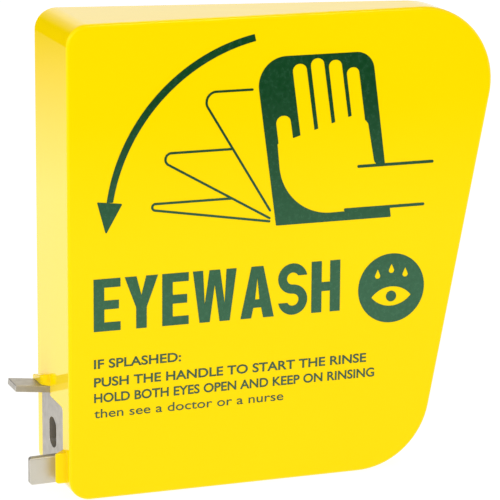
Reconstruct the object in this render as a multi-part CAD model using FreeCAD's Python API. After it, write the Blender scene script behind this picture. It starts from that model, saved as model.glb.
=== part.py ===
"""Push handle of an eyewash valve: a hollow plastic flag on a stamped steel valve bracket.

Everything is drawn from the housing's front lower corner on the valve side: X runs along the
front face towards the free edge, Y runs into the depth and Z runs up. The finished solids are
then moved so that the origin lies on the valve stem's axis, at the bracket's outer face.
"""
import FreeCAD, Part
import math
import os

Vector = FreeCAD.Vector
FAR = 400.0                        # longer than the object, for cutting and trimming tools
SPARE = 1.0                        # how far a tool runs past the face it cuts

# ---- Housing ----
shell_height = 146.1
shell_base_width = 114.1           # along the bottom, to the sharp corner
free_edge_lean = 10.6              # degrees; the free edge leans outwards going up
shell_depth = 34.7                 # at the valve side
depth_taper = 10.4                 # degrees between the front and the back face
valve_corner_radius = 6.6
free_corner_radius = 24.0
front_edge_radius = 1.1
back_edge_radius = 0.7
front_wall = 2.8
side_wall = 3.0
least_round = 0.8                  # of the outline's corners where it is moved inwards
rib_thickness = 1.8
rib_height = 5.0
rib_pitch = 42.0

# ---- Back cover, let into a rebate of the side walls ----
cover_thickness = 2.5
rebate_width = 1.5
cover_clearance = 0.15
screw_hole_clearance = 0.15        # radial, round every screw shank

# ---- Cover screws and their bosses ----
cover_shank_radius = 1.5
cover_head_radius = 2.9
cover_head_height = 2.0
cover_head_round = 0.7
drive_reach = 1.7                  # of each arm of the cross recess
drive_half_width = 0.45
drive_depth = 1.0
cover_screw_length = 6.5
tip_room = 0.4                     # of the hole, past the screw's tip
cover_head_sink = 0.5              # the head lies this far below the cover's face
head_pocket_clearance = 0.5
pocket_floor = 2.0
pocket_wall = 1.8
boss_wall = 2.6
boss_edge_distance = 11.0          # boss axis to the outer face beside it
lower_boss_height = 50.6           # of the boss beside the valve bracket
bottom_boss_reach = 46.0           # of the boss beside the anchor leg

# ---- Valve bracket ----
sheet = 2.0
inner_bend = 0.6
stem_from_front = 18.2             # stem axis, from the front face
stem_from_bottom = 16.9            # stem axis, from the bottom
slot_length = 9.7                  # across the rounds of the double-D slot
slot_width = 7.5                   # across its flats
plate_front = 7.3                  # from the front face to the plate's front edge
plate_width = 22.3
plate_bottom = 4.5
shoulder_height = 27.7
plate_corner_radius = 1.4
neck_corner_radius = 0.4
bend_zone = 4.0                    # of the plate, given up to the bend of a tab or the leg
neck_width = 8.8
top_tab_height = 28.8              # underside, at its root
top_tab_reach = 11.0
top_tab_tilt = 6.5                 # degrees, rising towards the end
lower_tab_reach = 10.7
lower_tab_width = 8.5
lower_tab_tilt = 4.0               # degrees, towards the front at its end
tab_corner_radius = 1.0
sheared_edge = 0.25                # rounding of a tab's cut end
die_roll = 0.8                     # of the lower tab's upper front edge
leg_width = 12.4
leg_reach = 34.0
plate_fit = 0.1                    # round the plate, in its recess
stem_window_clearance = 2.2        # round the stem, in the wall behind the plate
seat_pad = 1.6                     # thickening of the wall behind the plate
seat_margin = 2.0                  # of the thickening, round the plate

# ---- Anchor screws, up through the bottom wall ----
anchor_shank_radius = 2.0
anchor_head_radius = 3.8
anchor_screw_length = 11.7
anchor_first = 13.0                # from the valve side
anchor_spacing = 14.0
anchor_head_sink = 0.1
socket_across = 2.5
socket_depth = 1.2
pad_margin = 1.5                   # of the seat under the leg, round the leg
washer_radius = 4.5
washer_thickness = 0.8
nut_across_flats = 7.0
nut_height = 3.2
nut_chamfer = 0.35
thread_fit = 0.05                  # radial, between screw and nut

# ---- Plastic that backs the two stop tabs ----
hood_reach = 2.6
hood_length = 10.6                 # along the depth
hood_front_height = 3.9
hood_back_height = 1.3
hood_round = 2.4                   # its upright front corner
hood_edge_radius = 0.6
lug_reach = 4.1                    # to its sharp corner
lug_front = 2.9                    # from the front face
lug_bottom = 5.3
lug_height = 9.5
lug_lean = 0.3                     # how much less it reaches at its foot
lug_corner_radius = 0.4
lug_foot_radius = 1.4
lug_edge_radius = 0.4
root = 1.0                         # how far hood and lug run into the wall

# ---- Print on the front face: places are (x, z) from the front lower corner ----
ink = 0.12
arrow_outer = [(58.4, 140.6), (28.3, 124.5), (12.0, 92.2)]      # end, middle, head
arrow_inner = [(14.0, 92.2), (29.9, 122.8), (58.9, 138.5)]
arrow_head = [(9.0, 92.6), (11.7, 82.6), (16.9, 91.6)]
flag_stroke = 0.7
flag_pivot = (66.1, 82.4)
flag_positions = [                  # sharp corner, end of the top line, stop before pivot, bend
    ((40.9, 123.8), 58.2, 4.1, 3.1),
    ((25.2, 106.0), 51.7, 2.5, 1.9),
    ((15.0, 90.8), 51.7, 2.2, 1.0),
]
panel_points = [(65.8, 81.3), (103.5, 81.3), (96.5, 133.4), (58.6, 133.4)]
panel_radii = [0.3, 0.3, 5.9, 8.8]
palm_points = [(68.2, 83.8), (110.0, 84.5), (110.0, 98.0), (97.9, 98.0), (95.5, 111.1),
               (92.5, 114.6), (66.0, 106.6)]
palm_radii = [17.0, 0, 0, 2.0, 0, 0, 0]
hand_lean = 0.14
fingers = [                         # tip x, tip z, width, base z
    (67.6, 115.2, 5.0, 100.6),
    (72.7, 130.8, 4.8, 106.6),
    (78.4, 132.2, 4.6, 110.6),
    (84.2, 131.4, 4.5, 110.6),
    (90.0, 128.8, 4.3, 108.6),
]
arm_lines = [((92.6, 97.9), (117.0, 97.9)), ((88.4, 84.6), (114.2, 84.6))]
arm_stroke = 0.9
word = "EYEWASH"
word_left = 7.8
word_base = 52.8
cap_height = 16.2
letter_gap = 1.35
letter_stroke = 3.3
letter_width = {"E": 8.4, "Y": 10.5, "W": 14.0, "A": 10.8, "S": 9.6, "H": 9.4}
emblem_centre = (104.1, 58.6)
emblem_radius = 11.0
eye_drop = 2.6
eye_arc_radius = 8.6
eye_half_height = 3.1
iris_radius = 1.7
drop_size = 1.9
drops = [(-4.6, 4.4), (0.0, 5.9), (4.6, 4.4)]

# ---- Worked out from the sizes above ----
lean = math.tan(math.radians(free_edge_lean))
taper = math.tan(math.radians(depth_taper))
cover_run = cover_thickness / math.cos(math.radians(depth_taper))
plate_back = plate_front + plate_width
neck_front = plate_back - neck_width
slot_radius = slot_length / 2.0
anchor_head_height = anchor_head_radius - anchor_shank_radius
anchor_places = [anchor_first, anchor_first + anchor_spacing]
hood_bottom = top_tab_height + sheet
seat_depth = sheet + plate_fit + 2.0 * seat_pad


# ---- Drawing helpers ----
def on_front(y):
    """Drawing plane parallel to the front face at depth y: (u, v) is (x, z)."""
    return lambda u, v: Vector(u, y, v)


def on_side(x):
    """Drawing plane parallel to the valve side: (u, v) is (y, z)."""
    return lambda u, v: Vector(x, u, v)


def on_plan(z):
    """Drawing plane seen from above: (u, v) is (x, y)."""
    return lambda u, v: Vector(u, v, z)


def rounded_polygon(points, radii, plane):
    """Closed face through the points, each corner rounded to its radius."""
    if not isinstance(radii, (list, tuple)):
        radii = [radii] * len(points)
    corners = []
    count = len(points)
    for i in range(count):
        corner = Vector(points[i][0], points[i][1], 0)
        before = Vector(points[i - 1][0], points[i - 1][1], 0) - corner
        after = Vector(points[(i + 1) % count][0], points[(i + 1) % count][1], 0) - corner
        before.normalize()
        after.normalize()
        half = before.getAngle(after) / 2.0
        if radii[i] <= 0:
            corners.append((corner, None, corner))
            continue
        run = radii[i] / math.tan(half)
        bisector = before + after
        bisector.normalize()
        middle = corner + bisector * (radii[i] / math.sin(half) - radii[i])
        corners.append((corner + before * run, middle, corner + after * run))
    edges = []
    for i in range(count):
        start, middle, end = corners[i]
        if middle is not None:
            lifted = [plane(p.x, p.y) for p in (start, middle, end)]
            edges.append(Part.Arc(*lifted).toShape())
        following = corners[(i + 1) % count][0]
        if end.distanceToPoint(following) > 1e-6:
            edges.append(Part.LineSegment(plane(end.x, end.y),
                                          plane(following.x, following.y)).toShape())
    return Part.Face(Part.Wire(edges))


def box(low, high):
    """Solid box between two corners."""
    return Part.makeBox(high[0] - low[0], high[1] - low[1], high[2] - low[2], Vector(*low))


def rod(centre, radius, length, direction):
    """Solid cylinder that starts at centre."""
    return Part.makeCylinder(radius, length, Vector(*centre), Vector(*direction))


def fuse(shapes):
    """One solid from touching or overlapping shapes."""
    return shapes[0].multiFuse(shapes[1:]).removeSplitter()


# ---- Housing outline ----
def free_edge(z):
    """X of the leaning free edge at height z."""
    return shell_base_width + lean * z


def back_face(x):
    """Y of the tapered back face at x."""
    return shell_depth - taper * x


def outline(inset, plane):
    """Housing outline in a plane parallel to the front face, moved inwards by the inset."""
    shift = inset / math.cos(math.radians(free_edge_lean))
    top = shell_height - inset
    points = [(inset, inset), (free_edge(inset) - shift, inset),
              (free_edge(top) - shift, top), (inset, top)]
    valve_round = max(valve_corner_radius - inset, least_round)
    free_round = max(free_corner_radius - inset, least_round)
    return rounded_polygon(points, [valve_round, free_round, free_round, valve_round], plane)


def depth_band(front, behind_back):
    """Tall block between a front depth and a plane parallel to the back face."""
    low = -FAR / 4
    high = FAR
    points = [(low, front), (high, front), (high, back_face(high) + behind_back),
              (low, back_face(low) + behind_back)]
    if back_face(high) + behind_back < front:
        reach = (shell_depth + behind_back - front) / taper
        points = [(low, front), (reach, front), (low, back_face(low) + behind_back)]
    return rounded_polygon(points, 0, on_plan(-FAR)).extrude(Vector(0, 0, 2 * FAR))


def back_slab(inset, thickness):
    """Slice of the housing outline just in front of the back face."""
    prism = outline(inset, on_front(-SPARE)).extrude(Vector(0, shell_depth + 2 * SPARE, 0))
    low = -FAR / 4
    high = FAR
    points = [(low, back_face(low) - thickness), (high, back_face(high) - thickness),
              (high, back_face(high)), (low, back_face(low))]
    return prism.common(rounded_polygon(points, 0, on_plan(-FAR)).extrude(Vector(0, 0, 2 * FAR)))


def boss_places():
    """Axes of the cover screws on the front face: (x, z)."""
    edge = boss_edge_distance
    top = shell_height - edge
    corner = free_corner_radius - (free_corner_radius - edge) / math.sqrt(2.0)
    return [(edge, lower_boss_height), (edge, top),
            (free_edge(top) - corner, shell_height - corner),
            (free_edge(corner) - corner, corner), (bottom_boss_reach, edge)]


def head_seat(x):
    """Y of the face under a cover screw's head."""
    return back_face(x + cover_head_radius) - cover_head_sink - cover_head_height


# ---- Housing ----
def edges_near(shape, wanted):
    """Edges whose every vertex passes the test."""
    return [edge for edge in shape.Edges if all(wanted(v.Point) for v in edge.Vertexes)]


def front_shell():
    body = outline(0.0, on_front(0.0)).extrude(Vector(0, shell_depth, 0))
    body = body.common(depth_band(-SPARE, 0.0))
    body = body.makeFillet(front_edge_radius, edges_near(body, lambda p: abs(p.y) < 1e-4))
    on_back = lambda p: abs(p.y - back_face(p.x)) < 1e-4
    body = body.makeFillet(back_edge_radius, edges_near(body, on_back))

    cavity = outline(side_wall, on_front(front_wall)).extrude(Vector(0, shell_depth, 0))
    body = body.cut(cavity)
    body = body.cut(back_slab(side_wall - rebate_width, cover_run))

    room = cavity.common(depth_band(0.0, -cover_run - cover_clearance))
    inner = ribs() + [seat_block(), anchor_pad()]
    bosses = []
    for x, z in boss_places():
        top = head_seat(x) - pocket_floor
        radius = cover_shank_radius + boss_wall
        bosses.append(rod((x, front_wall, z), radius, top - front_wall, (0, 1, 0)))
    inside = [piece.common(room) for piece in inner] + bosses
    body = fuse([body] + inside + [hood(), lug()])
    for x, z in boss_places():
        clear = cover_shank_radius + screw_hole_clearance
        tip = head_seat(x) - cover_screw_length - tip_room
        body = body.cut(rod((x, tip, z), clear, shell_depth, (0, 1, 0)))
    body = body.cut(bracket_recess())
    for x in anchor_places:
        body = body.cut(anchor_hole(x))
    return body


def ribs():
    """Low stiffening ribs on the back of the front wall."""
    top = front_wall + rib_height
    made = []
    for i in (1, 2):
        x = i * rib_pitch
        made.append(box((x, front_wall / 2, 0), (x + rib_thickness, top, shell_height)))
        z = stem_from_bottom + i * rib_pitch
        made.append(box((0, front_wall / 2, z), (FAR, top, z + rib_thickness)))
    return made


def seat_block():
    """Thicker wall that carries the bracket plate."""
    return box((0, plate_front - seat_margin, 0),
               (seat_depth, plate_back + seat_margin, hood_bottom + seat_margin))


def anchor_pad():
    """Raised seat under the bracket's leg."""
    half = leg_width / 2 + pad_margin
    return box((0, stem_from_front - half, 0),
               (leg_reach + pad_margin, stem_from_front + half, plate_bottom))


def hood():
    """Rounded block on the valve side that backs the top stop tab from above."""
    front = neck_front
    back = neck_front + hood_length
    plan = [(root, front), (-hood_reach, front), (-hood_reach, back), (root, back)]
    block = rounded_polygon(plan, [0, hood_round, hood_edge_radius, 0], on_plan(hood_bottom))
    block = block.extrude(Vector(0, 0, hood_front_height))
    side = [(front, hood_bottom), (back, hood_bottom), (back, hood_bottom + hood_back_height),
            (front, hood_bottom + hood_front_height)]
    sloped = rounded_polygon(side, 0, on_side(-FAR / 2)).extrude(Vector(FAR, 0, 0))
    block = block.common(sloped)
    fall = (hood_front_height - hood_back_height) / hood_length
    on_top = lambda p: abs(p.z - hood_bottom - hood_front_height + fall * (p.y - front)) < 1e-3
    rim = [edge for edge in edges_near(block, on_top) if edge.BoundBox.XMin < root - 1e-3]
    return block.makeFillet(hood_edge_radius, rim)


def lug():
    """Web on the valve side that backs the lower stop tab from the front."""
    back = plate_front - plate_fit
    plan = [(root, lug_front), (-lug_reach, lug_front), (0.0, back), (root, back)]
    radii = [0, lug_corner_radius, 0, 0]
    block = rounded_polygon(plan, radii, on_plan(0)).extrude(Vector(0, 0, shell_height))
    top = lug_bottom + lug_height
    front = [(root, lug_bottom), (-lug_reach + lug_lean, lug_bottom), (-lug_reach, top), (root, top)]
    radii = [0, lug_foot_radius, lug_edge_radius, 0]
    face = rounded_polygon(front, radii, on_front(0))
    block = block.common(face.extrude(Vector(0, shell_depth, 0)))
    rim = edges_near(block, lambda p: abs(p.y - lug_front) < 1e-3 and abs(p.z - top) < 1e-3)
    return block.makeFillet(lug_edge_radius, rim)


# ---- Valve bracket ----
def plate_outline(grow, x):
    """Plate with its square shoulder and neck, on the valve side."""
    front = plate_front - grow
    back = plate_back + grow
    points = [(front, plate_bottom - grow), (back, plate_bottom - grow),
              (back, hood_bottom - sheet), (neck_front - grow, hood_bottom - sheet),
              (neck_front - grow, shoulder_height + grow), (front, shoulder_height + grow)]
    radii = [plate_corner_radius, plate_corner_radius, 0, 0, neck_corner_radius,
             plate_corner_radius]
    return rounded_polygon(points, radii, on_side(x))


def top_tab_profile():
    """Neck and top stop tab seen from the front: (x, z)."""
    rise = math.tan(math.radians(top_tab_tilt))
    low = top_tab_height
    high = top_tab_height + sheet / math.cos(math.radians(top_tab_tilt))
    reach = top_tab_reach
    tip = reach - sheet * math.sin(math.radians(top_tab_tilt))
    foot = shoulder_height - SPARE
    points = [(0.0, foot), (0.0, low), (-reach, low + rise * reach), (-tip, high + rise * tip),
              (sheet, high - rise * sheet), (sheet, foot)]
    radii = [0, inner_bend, sheared_edge, sheared_edge, inner_bend + sheet, 0]
    return rounded_polygon(points, radii, on_front(neck_front))


def lower_tab_profile():
    """Plate edge and lower stop tab seen from above: (x, y)."""
    forward = math.tan(math.radians(lower_tab_tilt)) * lower_tab_reach
    front = plate_front
    root_end = front + bend_zone + SPARE
    points = [(sheet, root_end), (sheet, front), (-lower_tab_reach, front - forward),
              (-lower_tab_reach, front + sheet - forward), (0.0, front + sheet),
              (0.0, root_end)]
    radii = [0, inner_bend + sheet, 0, sheared_edge, inner_bend, 0]
    return rounded_polygon(points, radii, on_plan(plate_bottom))


def leg_profile(grow):
    """Plate foot and anchor leg seen from the front: (x, z)."""
    low = plate_bottom
    root_end = low + bend_zone + SPARE
    points = [(-grow, root_end), (-grow, low - grow), (leg_reach, low - grow),
              (leg_reach, low + sheet + grow), (sheet + grow, low + sheet + grow),
              (sheet + grow, root_end)]
    outer = 0.0 if grow else inner_bend + sheet
    return rounded_polygon(points, [0, outer, 0, 0, inner_bend, 0],
                           on_front(stem_from_front - leg_width / 2 - grow))


def stem_slot(length):
    """Double-D prism along the stem's axis."""
    round_bar = rod((-length / 2, stem_from_front, stem_from_bottom), slot_radius, length, (1, 0, 0))
    half = slot_width / 2
    flats = box((-length, stem_from_front - half, 0),
                (length, stem_from_front + half, shell_height))
    return round_bar.common(flats)


def valve_bracket():
    plate = plate_outline(0.0, 0.0).extrude(Vector(sheet, 0, 0))
    foot_trim = box((-SPARE, stem_from_front - leg_width / 2, 0),
                    (sheet + SPARE, stem_from_front + leg_width / 2, plate_bottom + bend_zone))
    tab_trim = box((-SPARE, 0, 0),
                   (sheet + SPARE, plate_front + bend_zone, plate_bottom + lower_tab_width))
    plate = plate.cut(foot_trim).cut(tab_trim)
    top_tab = top_tab_profile().extrude(Vector(0, neck_width, 0))
    lower_tab = lower_tab_profile().extrude(Vector(0, 0, lower_tab_width))
    tab_top = plate_bottom + lower_tab_width
    corners = [(sheet + SPARE, plate_bottom), (sheet + SPARE, tab_top),
               (-lower_tab_reach, tab_top), (-lower_tab_reach, plate_bottom)]
    rounding = rounded_polygon(corners, [0, 0, tab_corner_radius, tab_corner_radius], on_front(0))
    rolled = [edge for edge in lower_tab.Edges
              if edge.BoundBox.ZMin > tab_top - 0.01 and edge.BoundBox.YMax < plate_front + 0.01
              and edge.BoundBox.XLength > lower_tab_reach / 2]
    lower_tab = lower_tab.makeFillet(die_roll, rolled)
    lower_tab = lower_tab.common(rounding.extrude(Vector(0, shell_depth, 0)))
    leg = leg_profile(0.0).extrude(Vector(0, leg_width, 0))
    body = fuse([plate, top_tab, lower_tab, leg])
    body = body.cut(stem_slot(FAR))
    for x in anchor_places:
        clear = anchor_shank_radius + screw_hole_clearance
        body = body.cut(rod((x, stem_from_front, 0), clear, shell_height, (0, 0, 1)))
    return body


def bracket_recess():
    """Room for the bracket in the valve side: recess, stem window, leg slot and neck slot."""
    recess = plate_outline(plate_fit, -SPARE).extrude(Vector(SPARE + sheet, 0, 0))
    neck = box((-SPARE, neck_front, shoulder_height - SPARE), (sheet, plate_back, hood_bottom))
    window = slot_radius + stem_window_clearance
    hole = rod((-SPARE, stem_from_front, stem_from_bottom), window, seat_depth + 2 * SPARE,
               (1, 0, 0))
    leg = leg_profile(plate_fit).extrude(Vector(0, leg_width + 2 * plate_fit, 0))
    leg = leg.common(box((-SPARE, 0, 0), (seat_depth + SPARE, shell_depth, shell_height)))
    room = [recess, neck, hole, leg]
    top_tab = top_tab_profile().extrude(Vector(0, neck_width, 0))
    lower_tab = lower_tab_profile().extrude(Vector(0, 0, lower_tab_width))
    for tab, away in ((top_tab, Vector(0, 0, plate_fit)), (lower_tab, Vector(0, -plate_fit, 0))):
        room.append(tab)
        cleared = tab.copy()
        cleared.translate(away)
        room.append(cleared)
    return fuse(room)


# ---- Anchor hardware ----
def anchor_hole(x):
    """Countersunk clearance hole through the bottom wall and the pad."""
    clear = anchor_shank_radius + screw_hole_clearance
    shank = rod((x, stem_from_front, -SPARE), clear, plate_bottom + 2 * SPARE, (0, 0, 1))
    lead = Part.makeCone(anchor_head_radius + screw_hole_clearance, clear, anchor_head_height,
                         Vector(x, stem_from_front, 0.0), Vector(0, 0, 1))
    return shank.fuse(lead)


def anchor_screw(x):
    head = Part.makeCone(anchor_head_radius, anchor_shank_radius, anchor_head_height,
                         Vector(x, stem_from_front, anchor_head_sink), Vector(0, 0, 1))
    shank = rod((x, stem_from_front, anchor_head_sink), anchor_shank_radius, anchor_screw_length,
                (0, 0, 1))
    socket = hexagon(x, stem_from_front, socket_across, 0.0, anchor_head_sink + socket_depth)
    return head.fuse(shank).removeSplitter().cut(socket)


def hexagon(x, y, across, z, height):
    """Upright hexagonal prism."""
    radius = across / math.sqrt(3.0)
    points = [(x + radius * math.cos(math.radians(60 * i)),
               y + radius * math.sin(math.radians(60 * i))) for i in range(6)]
    return rounded_polygon(points, 0, on_plan(z)).extrude(Vector(0, 0, height))


def anchor_washer(x):
    low = plate_bottom + sheet
    disc = rod((x, stem_from_front, low), washer_radius, washer_thickness, (0, 0, 1))
    clear = anchor_shank_radius + screw_hole_clearance
    return disc.cut(rod((x, stem_from_front, low), clear, washer_thickness, (0, 0, 1)))


def anchor_nut(x):
    low = plate_bottom + sheet + washer_thickness
    nut = hexagon(x, stem_from_front, nut_across_flats, low, nut_height)
    bore = rod((x, stem_from_front, low), anchor_shank_radius + thread_fit, nut_height, (0, 0, 1))
    rim = nut_across_flats / math.sqrt(3.0) - nut_chamfer
    chamfer = Part.makeCone(rim + nut_height, rim, nut_height,
                            Vector(x, stem_from_front, low), Vector(0, 0, 1))
    return nut.common(chamfer).cut(bore)


# ---- Back cover ----
def back_cover():
    inset = side_wall - rebate_width + cover_clearance
    body = back_slab(inset, cover_run)
    cups = []
    for x, z in boss_places():
        seat = head_seat(x)
        radius = cover_head_radius + head_pocket_clearance + pocket_wall
        cup = rod((x, seat - pocket_floor, z), radius, shell_depth, (0, 1, 0))
        cups.append(cup.common(depth_band(-SPARE, -cover_run / 2)))
    body = fuse([body] + cups)
    for x, z in boss_places():
        seat = head_seat(x)
        pocket = cover_head_radius + head_pocket_clearance
        clear = cover_shank_radius + screw_hole_clearance
        body = body.cut(rod((x, seat, z), pocket, shell_depth, (0, 1, 0)))
        body = body.cut(rod((x, 0, z), clear, shell_depth, (0, 1, 0)))
    return body


def cover_screw(x, z):
    seat = head_seat(x)
    head = rod((x, seat, z), cover_head_radius, cover_head_height, (0, 1, 0))
    rim = [edge for edge in head.Edges if abs(edge.BoundBox.YMin - seat - cover_head_height) < 1e-4]
    head = head.makeFillet(cover_head_round,
                           [edge for edge in rim if edge.BoundBox.ZLength > cover_head_radius])
    shank = rod((x, seat - cover_screw_length, z), cover_shank_radius,
                cover_screw_length + cover_head_height / 4, (0, 1, 0))
    body = head.fuse(shank).removeSplitter()
    top = seat + cover_head_height
    for wide, tall in ((drive_reach, drive_half_width), (drive_half_width, drive_reach)):
        body = body.cut(box((x - wide, top - drive_depth, z - tall),
                            (x + wide, top + SPARE, z + tall)))
    return body


# ---- Print ----
def inked(faces):
    """Ink film of even thickness standing on the front face; films that meet become one."""
    films = [face.extrude(Vector(0, -ink, 0)) for face in faces]
    if len(films) == 1:
        return films[0]
    joined = films[0].multiFuse(films[1:]).removeSplitter()
    return Part.makeCompound(joined.Solids)


def film(points, radii=0.0):
    """Flat printed shape on the front face."""
    return rounded_polygon(points, radii, on_front(0.0))


def disc(x, z, radius):
    """Flat printed disc on the front face."""
    circle = Part.Circle(Vector(x, 0, z), Vector(0, -1, 0), radius)
    return Part.Face(Part.Wire([circle.toShape()]))


def bar(start, end, width):
    """Printed bar with round ends."""
    run = Vector(end[0] - start[0], end[1] - start[1], 0)
    run.normalize()
    side = Vector(-run.y, run.x, 0) * (width / 2)
    first = Vector(start[0], start[1], 0) - run * (width / 2)
    last = Vector(end[0], end[1], 0) + run * (width / 2)
    corners = [first - side, last - side, last + side, first + side]
    return film([(p.x, p.y) for p in corners], width * 0.499)


def swing_arrow_print():
    """Tapering arc with an arrowhead, showing the flag's swing."""
    lift = on_front(0.0)
    outer = [lift(*p) for p in arrow_outer]
    inner = [lift(*p) for p in arrow_inner]
    edges = [Part.Arc(*outer).toShape(),
             Part.LineSegment(outer[2], inner[0]).toShape(),
             Part.Arc(*inner).toShape(),
             Part.LineSegment(inner[2], outer[0]).toShape()]
    return inked([Part.Face(Part.Wire(edges)), film(arrow_head, 0.25)])


def flag_line(corner, end, stop, bend):
    """Outline of one flag position: along its top, round its corner and down towards the pivot."""
    half = flag_stroke / 2
    tip = Vector(corner[0], corner[1], 0)
    first = Vector(end, corner[1], 0)
    pivot = Vector(flag_pivot[0], flag_pivot[1], 0)
    run_in = (tip - first).normalize()
    run_out = (pivot - tip).normalize()
    last = pivot - run_out * stop
    outwards = (run_in - run_out).normalize()
    mitre = outwards * (half / math.cos(run_in.getAngle(run_out) / 2))
    side_in = Vector(run_in.y, -run_in.x, 0) * half
    side_out = Vector(run_out.y, -run_out.x, 0) * half
    points = [first + side_in, tip + mitre, last + side_out,
              last - side_out, tip - mitre, first - side_in]
    cap = half * 0.99
    return film([(p.x, p.y) for p in points], [cap, bend + half, cap, cap, bend - half, cap])


def flag_positions_print():
    """Three outlines of the flag on its way down."""
    return inked([flag_line(*flag) for flag in flag_positions])


def finger(tip_x, tip_z, width, base_z):
    """Finger of the printed hand, leaning like the panel, with a round tip."""
    half = width / 2
    base_x = tip_x + hand_lean * (tip_z - base_z)
    points = [(base_x - half, base_z), (base_x + half, base_z),
              (tip_x + half * 0.96, tip_z), (tip_x - half * 0.96, tip_z)]
    return film(points, [0, 0, half * 0.9, half * 0.9])


def push_panel_print():
    """Solid panel with an open hand left blank in it, and the two lines of the forearm."""
    ground = film(panel_points, panel_radii)
    for shape in [film(palm_points, palm_radii)] + [finger(*row) for row in fingers]:
        ground = ground.cut(shape)
    return inked(ground.Faces + [bar(start, end, arm_stroke) for start, end in arm_lines])


def letter_e(w):
    bar_height = letter_stroke * 0.82
    mid = (cap_height - bar_height) / 2
    points = [(0, 0), (w, 0), (w, bar_height), (letter_stroke, bar_height), (letter_stroke, mid),
              (w * 0.94, mid), (w * 0.94, mid + bar_height), (letter_stroke, mid + bar_height),
              (letter_stroke, cap_height - bar_height), (w, cap_height - bar_height),
              (w, cap_height), (0, cap_height)]
    return points, None


def letter_y(w):
    half = letter_stroke / 2
    fork = cap_height * 0.40
    arm = letter_stroke * 1.12
    points = [(w / 2 - half, 0), (w / 2 + half, 0), (w / 2 + half, fork), (w, cap_height),
              (w - arm, cap_height), (w / 2, fork + letter_stroke * 1.15), (arm, cap_height),
              (0, cap_height), (w / 2 - half, fork)]
    return points, None


def letter_w(w):
    arm = letter_stroke * 0.98
    low = w * 0.27
    points = [(low - arm / 2, 0), (low + arm / 2, 0), (w / 2, cap_height * 0.72),
              (w - low - arm / 2, 0), (w - low + arm / 2, 0), (w, cap_height),
              (w - arm, cap_height), (w - low, cap_height * 0.34),
              (w / 2 + arm * 0.52, cap_height), (w / 2 - arm * 0.52, cap_height),
              (low, cap_height * 0.34), (arm, cap_height), (0, cap_height)]
    return points, None


def letter_a(w):
    arm = letter_stroke * 1.04
    half = arm * 0.56
    low = cap_height * 0.20
    high = low + letter_stroke * 0.78
    slope = (w / 2 - half) / cap_height
    outer = [(0, 0), (arm, 0), (arm + low * slope, low), (w - arm - low * slope, low), (w - arm, 0),
             (w, 0), (w / 2 + half, cap_height), (w / 2 - half, cap_height)]
    eye = [(arm + high * slope, high), (w - arm - high * slope, high),
           (w / 2, cap_height - letter_stroke * 1.05)]
    return outer, eye


def letter_h(w):
    low = (cap_height - letter_stroke * 0.86) / 2
    high = low + letter_stroke * 0.86
    points = [(0, 0), (letter_stroke, 0), (letter_stroke, low), (w - letter_stroke, low),
              (w - letter_stroke, 0), (w, 0), (w, cap_height), (w - letter_stroke, cap_height),
              (w - letter_stroke, high), (letter_stroke, high), (letter_stroke, cap_height),
              (0, cap_height)]
    return points, None


def letter_s(left, w):
    """Two rings one above the other, each opened on one side."""
    thick = letter_stroke * 0.86
    radius = (cap_height + thick) / 4
    stretch = w / 2
    x = left + stretch
    faces = []
    for sign in (1, -1):
        z = word_base + cap_height / 2 + sign * (cap_height / 2 - radius)
        ring = disc(x, z, radius).cut(disc(x, z, radius - thick))
        gap = [(x, z + sign * 0.9), (x + sign * 2 * radius, z + sign * 0.9),
               (x + sign * 2 * radius, z - sign * 2 * radius), (x, z - sign * 2 * radius)]
        faces.append(ring.cut(film(gap)))
    return faces


def name_print():
    """The object's plain name in block capitals."""
    drawn = {"E": letter_e, "Y": letter_y, "W": letter_w, "A": letter_a, "H": letter_h}
    faces = []
    left = word_left
    for letter in word:
        width = letter_width[letter]
        if letter == "S":
            faces += letter_s(left, width)
        else:
            outer, eye = drawn[letter](width)
            face = film([(left + u, word_base + v) for u, v in outer])
            if eye:
                face = face.cut(film([(left + u, word_base + v) for u, v in eye]))
            faces.append(face)
        left += width + letter_gap
    return inked(faces)


def emblem_print():
    """Round badge: an open eye under three drops of water."""
    x, z = emblem_centre
    eye_z = z - eye_drop
    offset = eye_arc_radius - eye_half_height
    almond = disc(x, eye_z + offset, eye_arc_radius).common(disc(x, eye_z - offset, eye_arc_radius))
    white = almond.cut(disc(x, eye_z, iris_radius))
    badge = disc(x, z, emblem_radius).cut(white)
    for dx, dz in drops:
        shape = [(x + dx, z + dz + drop_size), (x + dx - drop_size * 0.72, z + dz - drop_size * 0.6),
                 (x + dx + drop_size * 0.72, z + dz - drop_size * 0.6)]
        badge = badge.cut(film(shape, [0.05, drop_size * 0.45, drop_size * 0.45]))
    badge = badge.fuse(disc(x, eye_z, iris_radius))
    return inked(badge.Faces)


# ---- The parts ----
def shared(make, places):
    """Identical pieces, each its own solid, in one node."""
    return Part.makeCompound([make(*place) for place in places])


anchors = [(x,) for x in anchor_places]
parts = {
    "front_shell": front_shell(),
    "back_cover": back_cover(),
    "valve_bracket": valve_bracket(),
    "anchor_screws": shared(anchor_screw, anchors),
    "anchor_washers": shared(anchor_washer, anchors),
    "anchor_nuts": shared(anchor_nut, anchors),
    "cover_screws": shared(cover_screw, boss_places()),
    "swing_arrow_print": swing_arrow_print(),
    "flag_positions_print": flag_positions_print(),
    "push_panel_print": push_panel_print(),
    "name_print": name_print(),
    "emblem_print": emblem_print(),
}

os.makedirs("parts", exist_ok=True)
to_origin = Vector(0, -stem_from_front, -stem_from_bottom)
for name, shape in parts.items():
    shape.translate(to_origin)
    shape.exportStep("parts/" + name + ".step")
    print(name, len(shape.Solids), "solids", round(shape.Volume, 1), "mm3",
          "valid" if shape.isValid() else "INVALID")
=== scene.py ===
"""Push handle of an eyewash valve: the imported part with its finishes, its small print and a studio."""
import bpy
import bmesh
import numpy as np
from mathutils import Matrix, Vector


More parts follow.
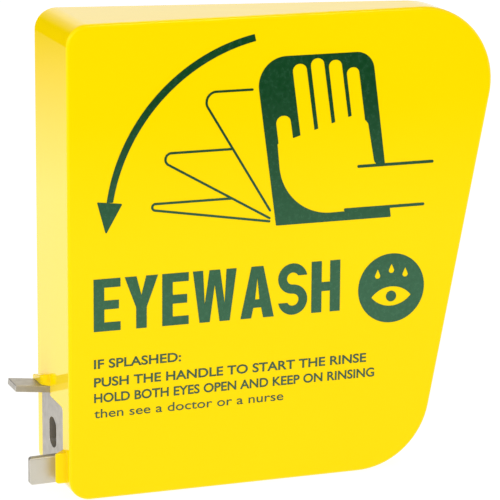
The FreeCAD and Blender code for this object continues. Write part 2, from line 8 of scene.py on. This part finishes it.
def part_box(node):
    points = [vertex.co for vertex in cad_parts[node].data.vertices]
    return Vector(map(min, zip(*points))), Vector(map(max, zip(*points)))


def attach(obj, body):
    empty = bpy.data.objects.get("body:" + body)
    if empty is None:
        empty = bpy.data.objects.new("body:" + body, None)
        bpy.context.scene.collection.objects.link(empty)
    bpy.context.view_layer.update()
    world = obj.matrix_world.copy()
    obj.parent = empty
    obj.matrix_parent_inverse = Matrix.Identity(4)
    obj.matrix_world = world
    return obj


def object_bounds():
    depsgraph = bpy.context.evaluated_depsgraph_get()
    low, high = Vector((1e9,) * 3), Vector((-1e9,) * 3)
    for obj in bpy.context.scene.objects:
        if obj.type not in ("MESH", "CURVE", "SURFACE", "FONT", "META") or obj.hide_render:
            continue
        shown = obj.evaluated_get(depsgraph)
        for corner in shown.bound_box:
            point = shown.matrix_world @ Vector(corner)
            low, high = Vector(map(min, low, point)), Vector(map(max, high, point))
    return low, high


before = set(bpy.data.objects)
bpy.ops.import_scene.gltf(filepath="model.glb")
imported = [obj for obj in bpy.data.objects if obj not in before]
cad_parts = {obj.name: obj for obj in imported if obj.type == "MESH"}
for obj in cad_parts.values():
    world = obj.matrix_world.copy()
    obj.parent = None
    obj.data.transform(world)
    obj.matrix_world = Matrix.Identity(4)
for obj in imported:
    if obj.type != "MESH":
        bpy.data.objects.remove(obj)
cad_box = [list(corner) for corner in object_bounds()]

# Heights over the stem's axis, in metres.
# Between the next two heights the ink's painted reflection fades out upwards.
painted_ink_reflection_full_below = 0.046
painted_ink_reflection_gone_above = 0.104
painted_tab_reflection_fade = (-0.0036, -0.0030)  # over it the painted reflection on the lower tab's front, a lighter tone, fades out upwards

# Samples that the rounded edges' shader takes at each point.
edge_samples = 6


# ---- Building blocks for the finishes ----
def finish_named(name):
    """New node material; returns the material, its nodes, its links and the surface shader."""
    made = bpy.data.materials.new(name)
    made.use_nodes = True
    nodes = made.node_tree.nodes
    return made, nodes, made.node_tree.links, nodes["Principled BSDF"]


def place_on_part(nodes, links, stretch=(1.0, 1.0, 1.0)):
    """Part coordinates in metres, stretched along each axis so that a grain can run one way."""
    where = nodes.new("ShaderNodeTexCoord")
    mapping = nodes.new("ShaderNodeMapping")
    mapping.inputs["Scale"].default_value = stretch
    links.new(where.outputs["Object"], mapping.inputs["Vector"])
    return mapping.outputs["Vector"]


def cloudy(nodes, links, where, per_metre, detail=2.0, roughness=0.5):
    """Cloudy pattern with the given number of patches to a metre, from 0 to 1."""
    noise = nodes.new("ShaderNodeTexNoise")
    noise.inputs["Scale"].default_value = per_metre
    noise.inputs["Detail"].default_value = detail
    noise.inputs["Roughness"].default_value = roughness
    links.new(where, noise.inputs["Vector"])
    return noise.outputs["Fac"]


def spread(nodes, links, value, from_low, from_high, to_low, to_high):
    """Carries a value linearly from one range to another and holds it there."""
    reach = nodes.new("ShaderNodeMapRange")
    reach.inputs["From Min"].default_value = from_low
    reach.inputs["From Max"].default_value = from_high
    reach.inputs["To Min"].default_value = to_low
    reach.inputs["To Max"].default_value = to_high
    links.new(value, reach.inputs["Value"])
    return reach.outputs["Result"]


def blend_colours(nodes, links, amount, first, second):
    """Colour between two colours, or colour sources, by an amount from 0 to 1."""
    mix = nodes.new("ShaderNodeMix")
    mix.data_type = "RGBA"
    links.new(amount, mix.inputs["Factor"])
    for socket, colour in ((mix.inputs[6], first), (mix.inputs[7], second)):
        if isinstance(colour, tuple):
            socket.default_value = (*colour, 1.0)
        else:
            links.new(colour, socket)
    return mix.outputs[2]


def raised(nodes, links, height, depth, under=None):
    """Surface relief: the height from 0 to 1 stands up to the depth, in metres."""
    bump = nodes.new("ShaderNodeBump")
    bump.inputs["Strength"].default_value = 1.0
    bump.inputs["Distance"].default_value = depth
    links.new(height, bump.inputs["Height"])
    if under is not None:
        links.new(under, bump.inputs["Normal"])
    return bump.outputs["Normal"]


def rounded_edge(nodes, radius):
    """Shading normal that rolls over every sharp edge of a piece."""
    bevel = nodes.new("ShaderNodeBevel")
    bevel.samples = edge_samples
    bevel.inputs["Radius"].default_value = radius
    return bevel.outputs["Normal"]


def edge_mask(nodes, links, radius):
    """1 beside a sharp edge and 0 away from it, from how far the rolled normal turns."""
    geometry = nodes.new("ShaderNodeNewGeometry")
    bevel = nodes.new("ShaderNodeBevel")
    bevel.samples = edge_samples
    bevel.inputs["Radius"].default_value = radius
    product = nodes.new("ShaderNodeVectorMath")
    product.operation = "DOT_PRODUCT"
    links.new(geometry.outputs["Normal"], product.inputs[0])
    links.new(bevel.outputs["Normal"], product.inputs[1])
    return spread(nodes, links, product.outputs["Value"], 0.99, 0.80, 0.0, 1.0)


# ---- Finishes ----
def gloss_housing():
    """Injection-moulded gloss plastic: clear yellow, faint flow clouds and a fine mould skin.
    The paler tone along its edges stands in for highlights that this studio leaves too weak. Its
    reflections are tinted yellow, though a real plastic mirrors white light as white."""
    made, nodes, links, shader = finish_named("moulded yellow, gloss")
    where = place_on_part(nodes, links)
    flow = spread(nodes, links, cloudy(nodes, links, where, 14.0), 0.35, 0.65, 0.0, 1.0)
    colour = blend_colours(nodes, links, flow, (1.0, 0.720, 0.0), (0.99, 0.705, 0.0))
    # painted highlight: a paler yellow along every edge, in place of the highlights that the lamps leave
    # too weak
    paler_with_painted_light = edge_mask(nodes, links, 0.0009)
    links.new(blend_colours(nodes, links, paler_with_painted_light, colour, (1.0, 0.79, 0.03)),
              shader.inputs["Base Color"])
    skin = cloudy(nodes, links, where, 1900.0, 3.0)
    links.new(spread(nodes, links, skin, 0.3, 0.7, 0.05, 0.09), shader.inputs["Roughness"])
    slow = raised(nodes, links, cloudy(nodes, links, where, 35.0, 1.0), 0.00003)
    links.new(raised(nodes, links, skin, 0.0000004, slow), shader.inputs["Normal"])
    shader.inputs["IOR"].default_value = 1.5
    shader.inputs["Specular Tint"].default_value = (1.0, 0.85, 0.15, 1.0)
    return made


def satin_cover():
    """The same plastic with a spark-eroded texture. The back cover's finish is a guess."""
    made, nodes, links, shader = finish_named("moulded yellow, satin")
    where = place_on_part(nodes, links)
    grain = cloudy(nodes, links, where, 1300.0, 4.0, 0.6)
    drift = spread(nodes, links, cloudy(nodes, links, where, 18.0), 0.35, 0.65, 0.0, 1.0)
    colour = blend_colours(nodes, links, drift, (0.90, 0.66, 0.004), (0.86, 0.62, 0.004))
    links.new(colour, shader.inputs["Base Color"])
    links.new(spread(nodes, links, grain, 0.3, 0.7, 0.42, 0.56), shader.inputs["Roughness"])
    links.new(raised(nodes, links, grain, 0.00004, rounded_edge(nodes, 0.00025)),
              shader.inputs["Normal"])
    return made


def stamped_steel():
    """Cold-rolled stainless sheet: rolling grain, bright sheared edges and dull specks.
    The lower tab's front has a lighter tone, because the black floor card darkens what that face
    mirrors. It is a correction for this studio and not a finish of the real sheet. Its metallic
    value is under 1, so some of its light is diffuse, unlike a real metal's."""
    made, nodes, links, shader = finish_named("stamped stainless sheet")
    grain_at = place_on_part(nodes, links, (60.0, 9000.0, 1500.0))
    rolled = cloudy(nodes, links, grain_at, 1.0, 2.0)
    where = place_on_part(nodes, links)
    mottle = cloudy(nodes, links, where, 420.0, 3.0)
    worn = edge_mask(nodes, links, 0.0003)
    sheet = blend_colours(nodes, links, spread(nodes, links, mottle, 0.35, 0.7, 0.0, 1.0),
                          (0.46, 0.43, 0.38), (0.40, 0.375, 0.33))
    split = nodes.new("ShaderNodeSeparateXYZ")
    links.new(where, split.inputs[0])
    below_stem = spread(nodes, links, split.outputs["Z"], *painted_tab_reflection_fade, 1.0, 0.0)
    surface = nodes.new("ShaderNodeNewGeometry")
    facing = nodes.new("ShaderNodeSeparateXYZ")
    links.new(surface.outputs["Normal"], facing.inputs[0])
    # painted reflection: below the stem, the lower tab's front turns a lighter steel tone in place of
    # what the floor card darkens
    painted_tab_reflection = nodes.new("ShaderNodeMath")
    painted_tab_reflection.operation = "MULTIPLY"
    to_front = spread(nodes, links, facing.outputs["Y"], -0.9, -0.5, 1.0, 0.0)
    links.new(to_front, painted_tab_reflection.inputs[0])
    links.new(below_stem, painted_tab_reflection.inputs[1])
    sheet = blend_colours(nodes, links, painted_tab_reflection.outputs[0], sheet, (0.63, 0.60, 0.52))
    links.new(blend_colours(nodes, links, worn, sheet, (0.84, 0.81, 0.74)),
              shader.inputs["Base Color"])
    shader.inputs["Metallic"].default_value = 0.65
    links.new(spread(nodes, links, mottle, 0.3, 0.7, 0.36, 0.46), shader.inputs["Roughness"])
    links.new(raised(nodes, links, rolled, 0.000006, rounded_edge(nodes, 0.0002)),
              shader.inputs["Normal"])
    return made


def turned_steel():
    """Stainless fastener: fine machining marks, softened edges and a slightly warm tone."""
    made, nodes, links, shader = finish_named("turned stainless")
    where = place_on_part(nodes, links)
    marks = cloudy(nodes, links, where, 2600.0, 3.0)
    tone = spread(nodes, links, cloudy(nodes, links, where, 500.0), 0.3, 0.7, 0.0, 1.0)
    links.new(blend_colours(nodes, links, tone, (0.66, 0.65, 0.62), (0.54, 0.53, 0.50)),
              shader.inputs["Base Color"])
    shader.inputs["Metallic"].default_value = 1.0
    links.new(spread(nodes, links, marks, 0.3, 0.7, 0.22, 0.34), shader.inputs["Roughness"])
    links.new(raised(nodes, links, marks, 0.000004, rounded_edge(nodes, 0.00012)),
              shader.inputs["Normal"])
    return made


def green_ink():
    """Pad-printed ink: deep green in small clouds. It lightens downwards, in place of the floor's
    mirror image that the black floor card takes away, not because the real ink is thinner."""
    made, nodes, links, shader = finish_named("printed green")
    where = place_on_part(nodes, links)
    split = nodes.new("ShaderNodeSeparateXYZ")
    links.new(where, split.inputs[0])
    # painted reflection: both ink tones lighten downwards, in place of the floor's mirror image
    height = spread(nodes, links, split.outputs["Z"], painted_ink_reflection_full_below, painted_ink_reflection_gone_above,
                    0.0, 1.0)
    deep = blend_colours(nodes, links, height, (0.026, 0.112, 0.050), (0.001, 0.050, 0.010))
    # paler ink where the film is thin, lightened downwards by the same painted reflection
    paler_with_painted_light = blend_colours(nodes, links, height, (0.038, 0.138, 0.066), (0.005, 0.068, 0.020))
    cover = cloudy(nodes, links, where, 700.0, 3.0, 0.6)
    cloud = spread(nodes, links, cover, 0.4, 0.75, 0.0, 1.0)
    links.new(blend_colours(nodes, links, cloud, deep, paler_with_painted_light), shader.inputs["Base Color"])
    links.new(spread(nodes, links, cover, 0.3, 0.7, 0.20, 0.30), shader.inputs["Roughness"])
    links.new(raised(nodes, links, cover, 0.000006), shader.inputs["Normal"])
    shader.inputs["Specular IOR Level"].default_value = 0.3
    return made


def small_text_ink():
    """Ink of the small print: a warmer green than the word's."""
    made, nodes, links, shader = finish_named("printed green, small text")
    where = place_on_part(nodes, links)
    cover = cloudy(nodes, links, where, 1100.0, 3.0, 0.6)
    cloud = spread(nodes, links, cover, 0.4, 0.75, 0.0, 1.0)
    links.new(blend_colours(nodes, links, cloud, (0.030, 0.085, 0.030), (0.060, 0.130, 0.050)),
              shader.inputs["Base Color"])
    links.new(spread(nodes, links, cover, 0.3, 0.7, 0.20, 0.30), shader.inputs["Roughness"])
    return made


def dress(node, material):
    """Gives a CAD node's every material slot one finish."""
    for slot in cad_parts[node].material_slots:
        slot.material = material


yellow = gloss_housing()
cover_yellow = satin_cover()
sheet_steel = stamped_steel()
screw_steel = turned_steel()
print_ink = green_ink()
text_ink = small_text_ink()

dress("front_shell", yellow)
dress("back_cover", cover_yellow)
dress("valve_bracket", sheet_steel)
for node in ("anchor_screws", "anchor_washers", "anchor_nuts", "cover_screws"):
    dress(node, screw_steel)
for node in ("swing_arrow_print", "flag_positions_print", "push_panel_print", "name_print",
             "emblem_print"):
    dress(node, print_ink)


# ---- Small print: four instruction lines under the word ----
front_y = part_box("front_shell")[0][1]
name_low, name_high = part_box("name_print")
text_left = name_low[0]
ink_film = front_y - name_low[1]
small_print_film = ink_film * 0.8      # thinner than the word's, so it stays inside the CAD box


def print_line(name, words, below, length, cap_height, material, boldness):
    """One printed line: its cap height and its length are scaled separately, the letters lie flat
    on the front face, and the line stands off by the small print's film. Below is the drop of
    its baseline from the word's baseline."""
    curve = bpy.data.curves.new(name, "FONT")
    curve.body = words
    curve.offset = boldness
    curve.resolution_u = 6
    sample = bpy.data.objects.new(name + "_flat", curve)
    bpy.context.scene.collection.objects.link(sample)
    bpy.context.view_layer.update()
    flat = bpy.data.meshes.new_from_object(
        sample.evaluated_get(bpy.context.evaluated_depsgraph_get()))
    bpy.data.objects.remove(sample)
    bpy.data.curves.remove(curve)
    points = np.empty(len(flat.vertices) * 3)
    flat.vertices.foreach_get("co", points)
    points = points.reshape(-1, 3)
    left, right = points[:, 0].min(), points[:, 0].max()
    font_cap = 0.729
    across = text_left + (points[:, 0] - left) * length / (right - left)
    upright = name_low[2] - below + points[:, 1] * cap_height / font_cap
    depth = np.full(len(points), front_y - small_print_film)
    flat.vertices.foreach_set("co", np.stack([across, depth, upright], 1).ravel())
    block = bmesh.new()
    block.from_mesh(flat)
    bmesh.ops.remove_doubles(block, verts=block.verts, dist=1e-6)
    skin = bmesh.ops.extrude_face_region(block, geom=block.faces[:])
    new_verts = [item for item in skin["geom"] if isinstance(item, bmesh.types.BMVert)]
    for vertex in new_verts:
        vertex.co.y = front_y
    bmesh.ops.recalc_face_normals(block, faces=block.faces)
    block.to_mesh(flat)
    block.free()
    flat.materials.clear()
    flat.materials.append(material)
    piece = bpy.data.objects.new(name, flat)
    bpy.context.scene.collection.objects.link(piece)
    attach(piece, "root")
    return piece


bold = 0.018
regular = 0.002
small_cap_height = 0.0029
small_print = [                    # name, words, drop from the word's baseline, length, strokes
    ("first_line_print", "IF SPLASHED:", 0.0115, 0.0276, bold),
    ("second_line_print", "PUSH THE HANDLE TO START THE RINSE", 0.0172, 0.0883, bold),
    ("third_line_print", "HOLD BOTH EYES OPEN AND KEEP ON RINSING", 0.02215, 0.0911, bold),
    ("fourth_line_print", "then see a doctor or a nurse", 0.0270, 0.0609, regular),
]
for name, words, below, length, strokes in small_print:
    print_line(name, words, below, length, small_cap_height, text_ink, strokes)


# ---- Studio ----
def flat_sheet(name, corners, material):
    """Four-cornered stage piece."""
    mesh = bpy.data.meshes.new(name)
    mesh.from_pydata(corners, [], [(0, 1, 2, 3)])
    mesh.materials.append(material)
    sheet = bpy.data.objects.new(name, mesh)
    bpy.context.scene.collection.objects.link(sheet)
    return sheet


def pale_stage():
    """Grey floor that glows almost white of itself, so that contact shadows stay faint."""
    made, nodes, links, shader = finish_named("pale floor")
    shader.inputs["Base Color"].default_value = (0.20, 0.20, 0.20, 1.0)
    shader.inputs["Roughness"].default_value = 0.9
    shader.inputs["Specular IOR Level"].default_value = 0.0
    shader.inputs["Emission Color"].default_value = (1.0, 1.0, 1.0, 1.0)
    shader.inputs["Emission Strength"].default_value = 0.90
    return made


def graded_black(name, along, clear_at, black_at, densest):
    """Black card that fades in along a direction, from clear to its densest."""
    made, nodes, links, shader = finish_named(name)
    nodes.remove(shader)
    where = nodes.new("ShaderNodeTexCoord")
    product = nodes.new("ShaderNodeVectorMath")
    product.operation = "DOT_PRODUCT"
    product.inputs[1].default_value = along
    links.new(where.outputs["Object"], product.inputs[0])
    density = spread(nodes, links, product.outputs["Value"], clear_at, black_at, 0.0, densest)
    clear = nodes.new("ShaderNodeBsdfTransparent")
    black = nodes.new("ShaderNodeEmission")
    black.inputs["Strength"].default_value = 0.0
    mix = nodes.new("ShaderNodeMixShader")
    links.new(density, mix.inputs["Fac"])
    links.new(clear.outputs["BSDF"], mix.inputs[1])
    links.new(black.outputs["Emission"], mix.inputs[2])
    links.new(mix.outputs["Shader"], nodes["Material Output"].inputs["Surface"])
    return made


def reflection_card(name, corners, material):
    """Card that darkens only what glossy surfaces mirror; the picture itself never shows it."""
    card = flat_sheet(name, corners, material)
    card.visible_camera = False
    card.visible_diffuse = False
    card.visible_transmission = False
    card.visible_shadow = False
    return card


def soft_light(name, place, target, width, height, power):
    """Rectangular soft box that faces the target."""
    lamp = bpy.data.lights.new(name, "AREA")
    lamp.shape = "RECTANGLE"
    lamp.size = width
    lamp.size_y = height
    lamp.energy = power
    box = bpy.data.objects.new(name, lamp)
    towards = Vector(target) - Vector(place)
    box.location = place
    box.rotation_euler = towards.to_track_quat("-Z", "Y").to_euler()
    bpy.context.scene.collection.objects.link(box)
    return box


def soft_sky(horizon, zenith):
    """Plain white surroundings that dim from the horizon to the zenith."""
    sky = bpy.data.worlds.new("studio")
    sky.use_nodes = True
    nodes, links = sky.node_tree.nodes, sky.node_tree.links
    direction = nodes.new("ShaderNodeTexCoord")
    split = nodes.new("ShaderNodeSeparateXYZ")
    links.new(direction.outputs["Generated"], split.inputs[0])
    strength = spread(nodes, links, split.outputs["Z"], 0.25, 0.9, horizon, zenith)
    back = nodes["Background"]
    back.inputs["Color"].default_value = (1.0, 1.0, 1.0, 1.0)
    links.new(strength, back.inputs["Strength"])
    bpy.context.scene.world = sky


low_corner, high_corner = cad_box
middle = [(a + b) / 2 for a, b in zip(low_corner, high_corner)]
floor_z = low_corner[2] - 0.0002
card_z = floor_z + 0.0005
flat_sheet("floor", [(-4.0, -4.0, floor_z), (4.0, -4.0, floor_z),
                     (4.0, 4.0, floor_z), (-4.0, 4.0, floor_z)], pale_stage())
soft_sky(1.05, 0.35)

# Two cards lie on the floor and two stand: they keep the front face, the print and the rounded
# corner deep in colour.
reflection_card("front_floor_card",
                [(-2.0, -3.0, card_z), (3.0, -3.0, card_z), (3.0, -0.3, card_z), (-2.0, -0.3, card_z)],
                graded_black("front floor card", (0.0, -1.0, 0.0), 0.31, 0.57, 1.0))
reflection_card("front_card",
                [(-1.0, -3.0, floor_z), (3.2, -3.0, floor_z), (3.2, -3.0, 0.9), (-1.0, -3.0, 0.9)],
                graded_black("front card", (0.0, 0.0, -1.0), -1.0, -0.9, 1.0))
reflection_card("back_floor_card",
                [(-1.6, 0.2, card_z), (0.10, 0.2, card_z), (0.10, 2.5, card_z), (-1.6, 2.5, card_z)],
                graded_black("back floor card", (-0.343, 0.94, 0.0), 0.40, 0.86, 0.97))
reflection_card("back_card",
                [(-0.76, 0.74, card_z), (0.10, 1.055, card_z), (0.10, 1.055, 1.1), (-0.76, 0.74, 1.1)],
                graded_black("back card", (-1.0, 0.0, 0.0), -0.10, 0.24, 1.0))

soft_light("key_left", (-0.75, -1.0, 0.95), middle, 0.7, 0.7, 3.5)
soft_light("high_front", (0.55, -0.95, 1.25), middle, 0.35, 0.35, 3.0)
soft_light("side_left", (-1.35, 0.12, 0.72), middle, 0.5, 0.5, 4.0)
soft_light("high_back", (0.35, 0.75, 1.2), middle, 0.5, 0.5, 2.2)

# ---- Camera: in front, 20 degrees round to the valve side and 14 degrees above level ----
right = Vector((0.93990564, -0.34136093, 0.00707892))
up = Vector((0.07547978, 0.22795719, 0.97074112))
away = right.cross(up)
camera = bpy.data.objects.new("camera", bpy.data.cameras.new("camera"))
camera.data.sensor_width = 36.0
camera.data.lens = 213.98
camera.data.clip_start = 0.05
camera.data.clip_end = 20.0
turn = Matrix((right, up, away)).transposed().to_4x4()
camera.matrix_world = Matrix.Translation((-0.24292, -0.84074, 0.27392)) @ turn
bpy.context.scene.collection.objects.link(camera)
bpy.context.scene.camera = camera
bpy.context.scene.view_settings.view_transform = "Standard"
